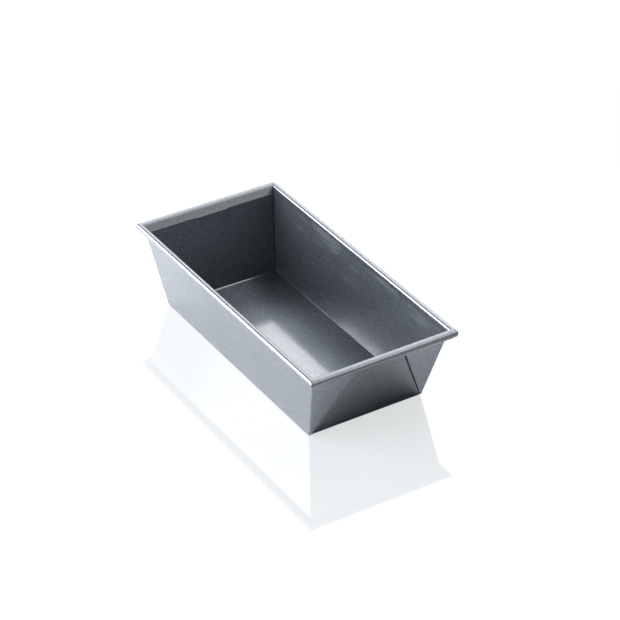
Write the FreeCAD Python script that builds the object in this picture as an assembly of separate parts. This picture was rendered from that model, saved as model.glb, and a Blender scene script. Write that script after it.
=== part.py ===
import FreeCAD, Part
import math
import os

# Loaf pan: one folded steel sheet and the wire hoop inside its curled rim.
# Millimetres.  X runs along the pan, Y across it, Z up from the table.
# The origin is the middle of the underside.

# ---- driving dimensions ------------------------------------------------
RIM_LENGTH = 250.0         # outside, over the curled rim
RIM_WIDTH = 124.0
HEIGHT = 65.7              # table to the top of the rim
BASE_LENGTH = 199.4
BASE_WIDTH = 96.2
SHEET = 0.6                # steel thickness
WIRE = 3.7                 # rim wire diameter
WIRE_CLEARANCE = 0.1       # between the wire and the curl round it
END_SLOPE = math.radians(16.0)   # end walls, out from upright
FLARE_FROM = 58.7          # height where an end wall bends out to its curl
END_CURL_EXTRA = 0.7       # the end curls are this much larger in radius
FOLD_FULLNESS = 0.9        # the folds' radius, as a share of a full round
FLOOR_BEND = 1.0           # inside radius where the walls leave the floor
CORNER_BEND = 0.5          # inside radius of the upright outer corners
FOLD_GAP_AT_FOOT = 0.05    # air between the layers of a gusset
FOLD_GAP_AT_TOP = 0.15     # they part a little towards the rim
FOLD_SPRING = 0.015        # each layer also leans off the one behind it
GUSSET_WIDTH_AT_TOP = 37.8
GUSSET_WIDTH_AT_FOOT = 0.4
ROOT_HEIGHT = 3.0          # below this the gusset layers run together
NOSE_ROUND = 1.0           # outside rounding of the four rim corners
MITRE_SLIT = 0.35          # left open where two curls meet at a corner
CURL_TUCK = math.radians(50)   # the long curls turn back under by this
CURL_TUCK_SETBACK = 8.0    # the tucked part stops this far from a corner

# ---- sizes worked out from them ----------------------------------------
SIDE_CURL = WIRE / 2 + WIRE_CLEARANCE + SHEET   # outside radius
END_CURL = SIDE_CURL + END_CURL_EXTRA
GUSSET_TOP = HEIGHT - 2 * END_CURL + SHEET / 2
STRIP_MARGIN = 5.0                              # plain wall beside a gusset
ABOVE = HEIGHT + 10.0                           # clear of the rim
BEYOND = RIM_LENGTH                             # clear of the pan
ORIGIN = FreeCAD.Vector(0, 0, 0)
ACROSS_X = FreeCAD.Vector(1, 0, 0)
ACROSS_Y = FreeCAD.Vector(0, 1, 0)
UPWARD = FreeCAD.Vector(0, 0, 1)


class Wall:
    """Cross-section of one wall and its curl: u runs outward, z up."""

    def __init__(self, base, rim, curl, slope=None, flare_from=None):
        self.foot = base / 2
        self.curl = curl
        self.bore = curl - SHEET
        self.centre_u = rim / 2 - curl
        self.centre_z = HEIGHT - curl
        self.slope = slope or self.slope_to_bore(self.foot, 0)
        self.flare_from = flare_from
        self.flare = self.slope
        if flare_from:
            self.flare = self.slope_to_bore(self.outer(flare_from), flare_from)

    def slope_to_bore(self, u, z):
        """Slope of the line from (u, z) that runs tangent into the bore."""
        run = self.centre_u - u
        rise = self.centre_z - z
        return math.atan2(run, rise) - math.asin(self.bore / math.hypot(run, rise))

    def outer(self, z):
        return self.foot + z * math.tan(self.slope)

    def inner(self, z):
        return self.outer(z) - SHEET / math.cos(self.slope)

    def flare_bend(self, depth):
        """Where a face this deep in the sheet turns into the flare, if it does."""
        if not self.flare_from:
            return []
        middle = (self.slope + self.flare) / 2
        reach = depth / math.cos((self.flare - self.slope) / 2)
        return [(self.outer(self.flare_from) - reach * math.cos(middle),
                 self.flare_from + reach * math.sin(middle))]

    def outer_below_curl(self):
        """Outer face of the wall at the height of the bottom of the curl."""
        z = HEIGHT - 2 * self.curl
        if not self.flare_from:
            return self.outer(z), z
        return self.outer(self.flare_from) + (z - self.flare_from) * math.tan(self.flare), z

    def on_curl(self, radius, angle):
        return (self.centre_u + radius * math.cos(angle),
                self.centre_z + radius * math.sin(angle))

    def over_the_top(self, radius):
        """Arc from the tangent with the wall to the top of the curl."""
        start = math.pi - self.flare
        end = math.pi / 2
        return [self.on_curl(radius, angle) for angle in (start, (start + end) / 2, end)]

    def outer_half(self, radius):
        """Arc from the bottom of the curl round the outside to its top."""
        return [self.on_curl(radius, angle) for angle in (-math.pi / 2, 0, math.pi / 2)]

    def floor_bend(self, face, level, radius):
        """Arc from the floor at this level into the given wall face."""
        half_turn = (math.pi / 2 - self.slope) / 2
        setback = radius * math.tan(half_turn)
        corner = face(level)
        start = corner - setback
        return [(start, level),
                (start + radius * math.sin(half_turn),
                 level + radius * (1 - math.cos(half_turn))),
                (corner + setback * math.sin(self.slope),
                 level + setback * math.cos(self.slope))]


LONG = Wall(BASE_WIDTH, RIM_WIDTH, SIDE_CURL)
END = Wall(BASE_LENGTH, RIM_LENGTH, END_CURL, END_SLOPE, FLARE_FROM)


# ---- outlines --------------------------------------------------------------
def section_face(steps, place):
    """Face from steps that are points (straight) or point triples (arcs)."""
    edges = []
    here = None
    for step in steps + [steps[0]]:
        points = step if isinstance(step, list) else [step]
        points = [place(*point) for point in points]
        if here is not None and here.distanceToPoint(points[0]) > 1e-6:
            edges.append(Part.LineSegment(here, points[0]).toShape())
        if len(points) == 3:
            edges.append(Part.Arc(*points).toShape())
        here = points[-1]
    return Part.Face(Part.Wire(edges))


def quarter(outline):
    """Quarter of the pan's box where both wall cross-sections agree."""
    long_face = section_face(outline(LONG), lambda u, z: FreeCAD.Vector(0, u, z))
    end_face = section_face(outline(END), lambda u, z: FreeCAD.Vector(u, 0, z))
    return long_face.extrude(ACROSS_X * BEYOND).common(end_face.extrude(ACROSS_Y * BEYOND))


def outside(wall):
    """Everything within the outer skin, with the curl filled in."""
    return [(0, 0),
            wall.floor_bend(wall.outer, 0, FLOOR_BEND + SHEET),
            *wall.flare_bend(0),
            wall.outer_below_curl(),
            wall.outer_half(wall.curl),
            (0, HEIGHT)]


def inside(wall):
    """The room for the loaf, up and over the inner half of the curl."""
    return [(0, SHEET),
            wall.floor_bend(wall.inner, SHEET, FLOOR_BEND),
            *wall.flare_bend(SHEET),
            wall.over_the_top(wall.curl),
            (wall.centre_u, ABOVE),
            (0, ABOVE)]


def within_wall_back(wall):
    """Everything inside the back of the wall and its curl."""
    low = HEIGHT / 2
    return [(0, low),
            (wall.outer(low), low),
            *wall.flare_bend(0),
            wall.over_the_top(wall.bore),
            (0, wall.centre_z + wall.bore)]


def within_hem(wall):
    """Everything inside the bore of the hem, open below the curl."""
    low = HEIGHT / 2
    return [(0, low),
            (wall.centre_u, low),
            wall.outer_half(wall.bore),
            (0, wall.centre_z + wall.bore)]


def rounded_loop(corners):
    """Closed wire through (point, radius) corners, each one rounded."""
    ends = []
    count = len(corners)
    for index in range(count):
        point, radius = corners[index]
        before = (corners[index - 1][0] - point).normalize()
        after = (corners[(index + 1) % count][0] - point).normalize()
        if radius == 0:
            ends.append([point])
            continue
        half = before.getAngle(after) / 2
        setback = radius / math.tan(half)
        bisector = (before + after).normalize()
        middle = point + bisector * (radius / math.sin(half) - radius)
        ends.append([point + before * setback, middle, point + after * setback])
    edges = []
    for index in range(count):
        if len(ends[index]) == 3:
            edges.append(Part.Arc(*ends[index]).toShape())
        start = ends[index][-1]
        finish = ends[(index + 1) % count][0]
        if start.distanceToPoint(finish) > 1e-6:
            edges.append(Part.LineSegment(start, finish).toShape())
    return Part.Wire(edges)


def ruled_solid(low, high):
    """Solid between two matching wires, straight edge over straight edge."""
    faces = [Part.Face(low), Part.Face(high)]
    for below, over in zip(low.Edges, high.Edges):
        if below.Curve.TypeId == "Part::GeomLine":
            a, b = [vertex.Point for vertex in below.Vertexes]
            d, c = [vertex.Point for vertex in over.Vertexes]
            faces.append(Part.Face(Part.makePolygon([a, b, c, d, a])))
        else:
            faces.append(Part.makeRuledSurface(below, over))
    return Part.Solid(Part.Shell(faces))


# ---- corner gussets ----------------------------------------------------------
def gusset_width(z):
    growth = (GUSSET_WIDTH_AT_TOP - GUSSET_WIDTH_AT_FOOT) / GUSSET_TOP
    return GUSSET_WIDTH_AT_FOOT + growth * z


def fold_gap(z):
    return FOLD_GAP_AT_FOOT + (FOLD_GAP_AT_TOP - FOLD_GAP_AT_FOOT) * z / GUSSET_TOP


def end_layers(z):
    """X of the faces met going outward through an end wall and its gusset."""
    step = SHEET / math.cos(END.slope)
    gap = fold_gap(z) / math.cos(END.slope)
    back = END.outer(z)
    return (back - step, back, back + gap, back + gap + step,
            back + 2 * gap + step, back + 2 * gap + 2 * step)


# The part of each wall drawn as one folded strip near a corner.
STRIP_FROM_X = END.foot - STRIP_MARGIN
STRIP_FROM_Y = LONG.outer(GUSSET_TOP) - GUSSET_WIDTH_AT_TOP - STRIP_MARGIN


def folded_strip(z):
    """The sheet at one height: in along the long wall, round the corner, out
    to the gusset's free fold, back to the corner and on as the end wall."""
    wall_in, wall_out, under_in, under_out, over_in, over_out = end_layers(z)
    side_out = LONG.outer(z)
    side_in = LONG.inner(z)
    free = side_out - gusset_width(z)
    nose = side_in - fold_gap(z)

    def at(x, y, lean=0):
        return FreeCAD.Vector(x + lean * FOLD_SPRING * (side_out - y), y, z)

    free_corners = [at(over_out, free, 2), at(under_in, free, 1)]
    fold_out = free_corners[0].distanceToPoint(free_corners[1]) * FOLD_FULLNESS / 2
    fold_in = fold_out - SHEET
    tuck_out = (under_out - wall_in) * FOLD_FULLNESS / 2
    tuck_in = (under_in - wall_out) * FOLD_FULLNESS / 2
    return rounded_loop([
        (at(STRIP_FROM_X, side_out), 0),
        (at(over_out, side_out, 2), CORNER_BEND + SHEET),
        (free_corners[0], fold_out),
        (free_corners[1], fold_out),
        (at(under_in, nose - SHEET, 1), tuck_in),
        (at(wall_out, nose - SHEET), tuck_in),
        (at(wall_out, STRIP_FROM_Y), 0),
        (at(wall_in, STRIP_FROM_Y), 0),
        (at(wall_in, nose), tuck_out),
        (at(under_out, nose, 1), tuck_out),
        (at(under_out, free + SHEET, 1), fold_in),
        (at(over_in, free + SHEET, 2), fold_in),
        (at(over_in, side_in, 2), CORNER_BEND),
        (at(STRIP_FROM_X, side_in), 0),
    ])


def gusset_root():
    """Solid foot of a gusset, where its layers run together."""
    top = ROOT_HEIGHT
    back = END.inner(top)
    out = end_layers(top)[-1] + 2 * FOLD_SPRING * gusset_width(top)
    side = LONG.outer(top)
    free = side - gusset_width(top)
    tip = FreeCAD.Vector(END.outer(SHEET) - SHEET / 2, LONG.outer(SHEET) - SHEET / 2, SHEET / 2)
    ring = [FreeCAD.Vector(x, y, top) for x, y in
            ((back, free), (out, free), (out, side), (back, side))]
    faces = [Part.Face(Part.makePolygon(ring + [ring[0]]))]
    for index in range(4):
        a = ring[index]
        b = ring[(index + 1) % 4]
        faces.append(Part.Face(Part.makePolygon([a, b, tip, a])))
    return Part.Solid(Part.Shell(faces))


# ---- the two pieces ------------------------------------------------------------
def round_nose(solid, radius):
    """Round the edge where the long curl meets the end curl."""
    edges = [edge for edge in solid.Edges
             if edge.BoundBox.XMin > END.centre_u - WIRE_CLEARANCE
             and edge.BoundBox.YMin > LONG.centre_u - WIRE_CLEARANCE
             and edge.BoundBox.ZLength > SHEET]
    return solid.makeFillet(radius, edges)


def mitre_slit():
    """The slit between the outer halves of two curls, above the gusset."""
    low = GUSSET_TOP + SHEET
    slit = Part.makeBox(2 * END_CURL, MITRE_SLIT, ABOVE - low,
                        FreeCAD.Vector(0, -MITRE_SLIT / 2, 0))
    slit.rotate(ORIGIN, UPWARD, math.degrees(math.atan2(SIDE_CURL, END_CURL)))
    slit.translate(FreeCAD.Vector(END.centre_u, LONG.centre_u, low))
    return slit


def curl_tuck():
    """The end of a long curl, turned back under its wire."""
    start = -math.pi / 2
    end = start - CURL_TUCK
    angles = (start, (start + end) / 2, end)
    outer = [LONG.on_curl(LONG.curl, angle) for angle in angles]
    inner = [LONG.on_curl(LONG.bore, angle) for angle in reversed(angles)]
    face = section_face([outer, inner], lambda u, z: FreeCAD.Vector(0, u, z))
    return face.extrude(ACROSS_X * (END.outer(LONG.centre_z) - CURL_TUCK_SETBACK))


def pan_quarter():
    hollow = quarter(within_hem).cut(quarter(within_wall_back))
    body = round_nose(quarter(outside), NOSE_ROUND).cut(quarter(inside)).cut(hollow)
    strip_height = GUSSET_TOP - ROOT_HEIGHT
    corner_room = Part.makeBox(END.centre_u - STRIP_FROM_X - SHEET / 2,
                               LONG.centre_u - STRIP_FROM_Y - SHEET / 2,
                               strip_height,
                               FreeCAD.Vector(STRIP_FROM_X, STRIP_FROM_Y, ROOT_HEIGHT))
    strip = ruled_solid(folded_strip(ROOT_HEIGHT), folded_strip(GUSSET_TOP))
    body = body.cut(corner_room).cut(mitre_slit())
    return body.fuse([strip, gusset_root(), curl_tuck()])


def pan_body():
    half = pan_quarter()
    half = half.fuse(half.mirror(ORIGIN, ACROSS_X))
    whole = half.fuse(half.mirror(ORIGIN, ACROSS_Y))
    return whole.removeSplitter().Solids[0]


def rim_wire():
    """Closed level hoop, high and a little outward in the wider end curls."""
    bend = WIRE / 2 + WIRE_CLEARANCE / 4
    half_length = END.centre_u + WIRE_CLEARANCE
    half_width = LONG.centre_u
    path = rounded_loop([(FreeCAD.Vector(sx * half_length, sy * half_width, LONG.centre_z), bend)
                         for sx, sy in ((1, 1), (-1, 1), (-1, -1), (1, -1))])
    start = path.Edges[1].valueAt(path.Edges[1].FirstParameter)
    along = path.Edges[1].tangentAt(path.Edges[1].FirstParameter)
    circle = Part.Wire(Part.makeCircle(WIRE / 2, start, along))
    return path.makePipeShell([circle], True, True)


def main():
    os.makedirs("parts", exist_ok=True)
    for name, shape in (("pan_body", pan_body()), ("rim_wire", rim_wire())):
        shape.exportStep(f"parts/{name}.step")


main()
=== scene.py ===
import math

import bpy
from mathutils import Matrix, Vector

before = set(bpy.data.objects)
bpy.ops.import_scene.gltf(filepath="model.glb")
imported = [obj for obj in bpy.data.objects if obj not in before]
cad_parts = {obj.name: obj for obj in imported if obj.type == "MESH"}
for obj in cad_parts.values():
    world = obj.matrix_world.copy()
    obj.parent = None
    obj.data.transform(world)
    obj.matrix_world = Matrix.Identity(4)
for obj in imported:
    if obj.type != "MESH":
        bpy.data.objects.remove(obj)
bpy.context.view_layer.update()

# One millimetre in the scene's metres.
MM = 0.001

# Camera: its direction from the pan (azimuth from -Y towards +X), its roll and
# its distance in metres, then the sensor and lens in millimetres.  It aims at a
# height above the pan's origin, shifted to the right and up in its own view.
AZIMUTH = math.radians(57.35)
ELEVATION = math.radians(33.26)
ROLL = math.radians(0.47)
DISTANCE = 1.7869
SENSOR_WIDTH = 36.0
LENS = 140.4
AIM_HEIGHT = 40 * MM
AIM_RIGHT = 13.75 * MM
AIM_UP = -4.14 * MM

# Softboxes: name, azimuth (from +X towards +Y) and elevation in degrees, width
# and height in metres, radiance.  All stand LIGHT_DISTANCE off and face the pan.
LIGHT_DISTANCE = 2.5
LIGHT_TINT = (0.985, 1.0, 1.015)
SOFTBOXES = (
    ("back_low", 147, 15, 2.90, 1.30, 1.6),
    ("back", 147, 37, 1.45, 0.90, 4.2),
    ("back_high", 102, 61, 1.60, 1.10, 4.6),
    ("left_back", 180, 21, 1.30, 1.80, 2.5),
    ("left_back_high", 160, 51, 1.15, 0.88, 2.5),
    ("left_high", 213, 29, 0.85, 0.55, 2.0),
    ("left", 210, 11, 1.34, 0.88, 9.2),
    ("front_left", 249, 21, 2.60, 1.80, 12.4),
    ("front_high", 280, 51, 1.15, 0.88, 2.0),
)
# Cards that show only as reflections, in the rim and the flared ends.
CARDS = (
    ("right_high", 42, 45, 1.10, 0.80, 4.7),
    ("right_low", 30, 20, 1.34, 1.00, 1.5),
)
WORLD_TINT = (0.95, 0.98, 1.0, 1.0)
WORLD_STRENGTH = 0.06

# Where the coating gets painted light and shade: the outer face of an end wall, how far off it a
# gusset starts, and the height where the walls end and the curl begins. The gussets are painted
# lighter and the curl darker; the curl is rougher too.
END_FOOT = 99.7 * MM
END_SLOPE = math.radians(16.0)
GUSSET_STEP = 0.5 * MM
CURL_FROM = 59.2 * MM
CURL_BLEND = 1.5 * MM

# Coating colour.  A swing is how far a pattern moves the tone either side of 1,
# and a tone is what a mark adds to it.
COATING_COLOUR = (0.097, 0.110, 0.130)
COATING_METALLIC = 0.70
FLAKE_SWING = 0.26
MOTTLE_SWING = 0.16
CLOUD_SWING = 0.07
SCUFF_TONE = 0.20
SPECK_TONE = 1.1
# Painted reflection: the gussets are painted lighter, for the brighter floor they reflect.
GUSSET_PAINTED_LIGHT = 0.32
# Painted shade: the curled rim is painted darker, to dim its highlights.
CURL_PAINTED_SHADE = -0.18

# Coating pattern sizes, and the levels between which streaks and patches come
# in.  A few cells hold a speck, which fades out between two radii, in cells.
FLAKE_CELL = 0.8 * MM
GRAIN_CELL = 0.9 * MM
MOTTLE_CELL = 3.0 * MM
CLOUD_CELL = 55 * MM
WAVE_CELL = 38 * MM
STREAK_CELL = (70 * MM, 0.8 * MM, 3 * MM)
STREAK_LEVELS = (0.52, 0.66)
PATCH_CELL = 24 * MM
PATCH_LEVELS = (0.48, 0.60)
SPECK_CELL = 3.2 * MM
SPECK_SHARE = 0.035
SPECK_RADII = (0.07, 0.13)

# Roughness of the metallic base and of the clear coat over it, each with what
# the patterns add.
BASE_ROUGHNESS = 0.30
BASE_ROUGHER_BY_MOTTLE = 0.06
BASE_ROUGHER_BY_GRAIN = 0.05
BASE_ROUGHER_BY_SCUFF = 0.10
CLEAR_IOR = 1.7
CLEAR_ROUGHNESS = 0.07
CLEAR_ROUGHER_BY_CLOUD = 0.05
CLEAR_ROUGHER_BY_SCUFF = 0.16
CLEAR_ROUGHER_BY_CURL = 0.04

# Coating relief.
PEEL_HEIGHT = 0.006 * MM
SCUFF_DEPTH = 0.003 * MM
WAVE_HEIGHT = 0.10 * MM

# Rim wire.
WIRE_COLOUR = (0.50, 0.50, 0.51)
WIRE_LINE_CELL = (30 * MM, 30 * MM, 0.12 * MM)
WIRE_LINE_SWING = 0.12
WIRE_LINE_HEIGHT = 0.004 * MM
WIRE_STAIN_CELL = 6 * MM
WIRE_STAIN_SWING = 0.22
WIRE_ROUGHNESS = 0.28
WIRE_ROUGHER_BY_STAIN = 0.20
WIRE_ROUGHER_BY_LINES = 0.08

# Floor: its own glow, and how much of the pan's shadow the camera sees.
FLOOR_SIZE = 8.0
FLOOR_COLOUR = (0.80, 0.82, 0.84)
FLOOR_ROUGHNESS = 0.03
FLOOR_ROUGHER_BY_HAZE = 0.03
FLOOR_HAZE_CELL = 0.25
FLOOR_HAZE_SWING = 0.01
FLOOR_GLOW_TINT = (0.965, 0.99, 1.0, 1.0)
FLOOR_GLOW = 0.70
FLOOR_SHADOW = 0.15


# ---- camera and light --------------------------------------------------------
def add_camera():
    """A long lens that looks down on the +X end and the -Y long side."""
    back = Vector((math.sin(AZIMUTH) * math.cos(ELEVATION),
                   -math.cos(AZIMUTH) * math.cos(ELEVATION),
                   math.sin(ELEVATION)))
    right = Vector((math.cos(AZIMUTH), math.sin(AZIMUTH), 0.0))
    up = back.cross(right)
    place = Vector((0.0, 0.0, AIM_HEIGHT)) + back * DISTANCE + right * AIM_RIGHT + up * AIM_UP
    rolled_right = right * math.cos(ROLL) + up * math.sin(ROLL)
    rolled_up = up * math.cos(ROLL) - right * math.sin(ROLL)
    turn = Matrix((rolled_right, rolled_up, back)).transposed().to_4x4()
    data = bpy.data.cameras.new("camera")
    data.lens = LENS
    data.sensor_width = SENSOR_WIDTH
    camera = bpy.data.objects.new("camera", data)
    camera.matrix_world = Matrix.Translation(place) @ turn
    bpy.context.scene.collection.objects.link(camera)
    bpy.context.scene.camera = camera


def add_softbox(name, azimuth, elevation, width, height, radiance, only_reflected=False):
    """A glowing rectangle that faces the pan from the given direction."""
    data = bpy.data.lights.new(name, "AREA")
    data.shape = "RECTANGLE"
    data.size = width
    data.size_y = height
    data.energy = radiance * math.pi * width * height
    data.color = LIGHT_TINT
    light = bpy.data.objects.new(name, data)
    light.visible_diffuse = not only_reflected
    turn = math.radians(azimuth)
    rise = math.radians(elevation)
    toward = Vector((math.cos(turn) * math.cos(rise),
                     math.sin(turn) * math.cos(rise),
                     math.sin(rise)))
    light.location = toward * LIGHT_DISTANCE
    light.rotation_mode = "QUATERNION"
    light.rotation_quaternion = toward.to_track_quat("Z", "Y")
    bpy.context.scene.collection.objects.link(light)


def add_world():
    """A faint even light from all round."""
    world = bpy.data.worlds.new("studio")
    bpy.context.scene.world = world
    world.use_nodes = True
    background = world.node_tree.nodes["Background"]
    background.inputs["Color"].default_value = WORLD_TINT
    background.inputs["Strength"].default_value = WORLD_STRENGTH


# ---- material building -------------------------------------------------------
class Graph:
    """A material's node tree, with short calls for the nodes used here.

    Patterns run from 0 to 1 and are fixed to the object, in metres.
    """

    def __init__(self, name):
        self.material = bpy.data.materials.new(name)
        self.material.use_nodes = True
        self.tree = self.material.node_tree
        self.shader = self.tree.nodes["Principled BSDF"]

    def feed(self, socket, value):
        """Links another node's output into the socket, or sets it to a plain value."""
        if isinstance(value, bpy.types.NodeSocket):
            self.tree.links.new(value, socket)
        else:
            socket.default_value = value

    def add(self, kind, settings, inputs):
        made = self.tree.nodes.new(kind)
        for name, value in settings.items():
            setattr(made, name, value)
        for name, value in inputs.items():
            self.feed(made.inputs[name], value)
        return made

    def surface(self, inputs):
        """Sets inputs of the material's shader by their names."""
        for name, value in inputs.items():
            self.feed(self.shader.inputs[name], value)

    def position(self):
        return self.add("ShaderNodeTexCoord", {}, {}).outputs["Object"]

    def axes(self):
        split = self.add("ShaderNodeSeparateXYZ", {}, {"Vector": self.position()})
        return split.outputs["X"], split.outputs["Y"], split.outputs["Z"]

    def in_cells(self, size):
        """Position counted in cells of one size, or of an (x, y, z) size."""
        x, y, z = size if isinstance(size, tuple) else (size, size, size)
        per_metre = (1 / x, 1 / y, 1 / z)
        made = self.add("ShaderNodeMapping", {}, {"Vector": self.position(), "Scale": per_metre})
        return made.outputs["Vector"]

    def noise(self, size, detail):
        made = self.add("ShaderNodeTexNoise", {}, {
            "Vector": self.in_cells(size), "Scale": 1.0, "Detail": detail, "Roughness": 0.5})
        return made.outputs["Fac"]

    def cells(self, size):
        """A random value in each cell, and the distance to the cell's middle."""
        made = self.add("ShaderNodeTexVoronoi", {}, {"Vector": self.in_cells(size), "Scale": 1.0})
        split = self.add("ShaderNodeSeparateColor", {}, {"Color": made.outputs["Color"]})
        return split.outputs["Red"], made.outputs["Distance"]

    def math(self, operation, *values):
        made = self.add("ShaderNodeMath", {"operation": operation}, {})
        for socket, value in zip(made.inputs, values):
            self.feed(socket, value)
        return made.outputs[0]

    def multiply(self, first, second):
        return self.math("MULTIPLY", first, second)

    def plus(self, base, amount, pattern):
        """The base, raised by this amount where the pattern is 1."""
        return self.math("MULTIPLY_ADD", pattern, amount, base)

    def swing(self, pattern, amount):
        """A factor that moves this far either side of 1."""
        return self.plus(1 - amount, 2 * amount, pattern)

    def ramp(self, value, low, high, to_low=0.0, to_high=1.0):
        """A smooth step between two levels."""
        made = self.add("ShaderNodeMapRange", {"interpolation_type": "SMOOTHSTEP"}, {
            "Value": value, "From Min": low, "From Max": high, "To Min": to_low, "To Max": to_high})
        return made.outputs["Result"]

    def scaled(self, colour, factor):
        made = self.add("ShaderNodeVectorMath", {"operation": "SCALE"}, {0: colour, "Scale": factor})
        return made.outputs["Vector"]

    def bump(self, height):
        """Surface relief from a height in metres."""
        made = self.add("ShaderNodeBump", {}, {"Height": height, "Strength": 1.0, "Distance": 1.0})
        return made.outputs["Normal"]


# ---- the coated sheet --------------------------------------------------------
def gusset_painted_light_mask(graph):
    """1 on the gussets that stand off the end walls, 0 elsewhere: where a painted reflection
    lightens them.
    """
    x, _, z = graph.axes()
    wall = graph.plus(END_FOOT, math.tan(END_SLOPE), z)
    outward = graph.math("SUBTRACT", graph.math("ABSOLUTE", x), wall)
    proud = graph.math("GREATER_THAN", outward, GUSSET_STEP)
    below_curl = graph.math("LESS_THAN", z, CURL_FROM)
    return graph.multiply(proud, below_curl)


def curl_mask(graph):
    """Rises from 0 to 1 where the walls end and the curled rim begins, for the curl's painted shade
    and its rougher coat.
    """
    _, _, z = graph.axes()
    return graph.ramp(z, CURL_FROM, CURL_FROM + CURL_BLEND)


def scuff_mask(graph):
    """Rubbed streaks along the pan, in patches."""
    streak = graph.ramp(graph.noise(STREAK_CELL, detail=3), *STREAK_LEVELS)
    patch = graph.ramp(graph.noise(PATCH_CELL, detail=2), *PATCH_LEVELS)
    return graph.multiply(streak, patch)


def speck_mask(graph):
    """Small round specks in a few of the cells."""
    value, distance = graph.cells(SPECK_CELL)
    picked = graph.math("GREATER_THAN", value, 1 - SPECK_SHARE)
    dot = graph.ramp(distance, *SPECK_RADII, 1.0, 0.0)
    return graph.multiply(picked, dot)


def coated_sheet():
    """Dark satin coating with fine metal flake, orange peel and light scuffs; its gussets get a
    painted reflection and its curled rim painted shade.
    """
    graph = Graph("coated_sheet")
    flake, _ = graph.cells(FLAKE_CELL)
    grain = graph.noise(GRAIN_CELL, detail=3)
    mottle = graph.noise(MOTTLE_CELL, detail=3)
    cloud = graph.noise(CLOUD_CELL, detail=2)
    scuff = scuff_mask(graph)
    curl = curl_mask(graph)

    tone = graph.swing(flake, FLAKE_SWING)
    tone = graph.multiply(tone, graph.swing(mottle, MOTTLE_SWING))
    tone = graph.multiply(tone, graph.swing(cloud, CLOUD_SWING))
    tone = graph.plus(tone, SCUFF_TONE, scuff)
    tone = graph.plus(tone, SPECK_TONE, speck_mask(graph))
    # Painted reflection: the gussets are made lighter than the end wall.
    tone = graph.multiply(tone, graph.plus(1.0, GUSSET_PAINTED_LIGHT, gusset_painted_light_mask(graph)))
    # Painted shade: the curl is made darker.
    tone = graph.multiply(tone, graph.plus(1.0, CURL_PAINTED_SHADE, curl))

    rough = graph.plus(BASE_ROUGHNESS, BASE_ROUGHER_BY_MOTTLE, mottle)
    rough = graph.plus(rough, BASE_ROUGHER_BY_GRAIN, grain)
    rough = graph.plus(rough, BASE_ROUGHER_BY_SCUFF, scuff)

    clear_rough = graph.plus(CLEAR_ROUGHNESS, CLEAR_ROUGHER_BY_CLOUD, cloud)
    clear_rough = graph.plus(clear_rough, CLEAR_ROUGHER_BY_SCUFF, scuff)
    clear_rough = graph.plus(clear_rough, CLEAR_ROUGHER_BY_CURL, curl)

    peel = graph.multiply(grain, PEEL_HEIGHT)
    peel = graph.plus(peel, -SCUFF_DEPTH, scuff)
    wave = graph.multiply(graph.noise(WAVE_CELL, detail=1), WAVE_HEIGHT)
    graph.surface({
        "Base Color": graph.scaled(COATING_COLOUR, tone),
        "Metallic": COATING_METALLIC,
        "Roughness": rough,
        "Normal": graph.bump(graph.math("ADD", peel, wave)),
        "Coat Weight": 1.0,
        "Coat IOR": CLEAR_IOR,
        "Coat Roughness": clear_rough,
        "Coat Normal": graph.bump(wave),
    })
    return graph.material


def wire_steel():
    """Drawn steel wire: fine lines along it, dull grey with darker stains."""
    graph = Graph("wire_steel")
    lines = graph.noise(WIRE_LINE_CELL, detail=3)
    stain = graph.noise(WIRE_STAIN_CELL, detail=4)
    tone = graph.multiply(graph.swing(lines, WIRE_LINE_SWING), graph.swing(stain, WIRE_STAIN_SWING))
    rough = graph.plus(WIRE_ROUGHNESS, WIRE_ROUGHER_BY_STAIN, stain)
    rough = graph.plus(rough, WIRE_ROUGHER_BY_LINES, lines)
    graph.surface({
        "Base Color": graph.scaled(WIRE_COLOUR, tone),
        "Metallic": 1.0,
        "Roughness": rough,
        "Normal": graph.bump(graph.multiply(lines, WIRE_LINE_HEIGHT)),
    })
    return graph.material


# ---- the stage ---------------------------------------------------------------
def pale_gloss():
    """Pale glossy floor.  The camera sees it glow, with a light shadow."""
    graph = Graph("floor")
    seen = graph.add("ShaderNodeLightPath", {}, {}).outputs["Is Camera Ray"]
    haze = graph.noise(FLOOR_HAZE_CELL, detail=2)
    lit = graph.plus(1.0, FLOOR_SHADOW - 1, seen)
    lit = graph.multiply(lit, graph.swing(haze, FLOOR_HAZE_SWING))
    graph.surface({
        "Base Color": graph.scaled(FLOOR_COLOUR, lit),
        "Roughness": graph.plus(FLOOR_ROUGHNESS, FLOOR_ROUGHER_BY_HAZE, haze),
        "Emission Color": FLOOR_GLOW_TINT,
        "Emission Strength": graph.multiply(seen, FLOOR_GLOW),
    })
    return graph.material


def add_floor():
    bpy.ops.mesh.primitive_plane_add(size=FLOOR_SIZE, location=(0, 0, 0))
    floor = bpy.context.object
    floor.name = "floor"
    floor.data.materials.append(pale_gloss())


def give_material(node, material):
    """Gives a CAD piece this material only."""
    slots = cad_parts[node].data.materials
    slots.clear()
    slots.append(material)


give_material("pan_body", coated_sheet())
give_material("rim_wire", wire_steel())
add_floor()
add_world()
for softbox in SOFTBOXES:
    add_softbox(*softbox)
for card in CARDS:
    add_softbox(*card, only_reflected=True)
add_camera()
bpy.context.scene.view_settings.view_transform = "Standard"
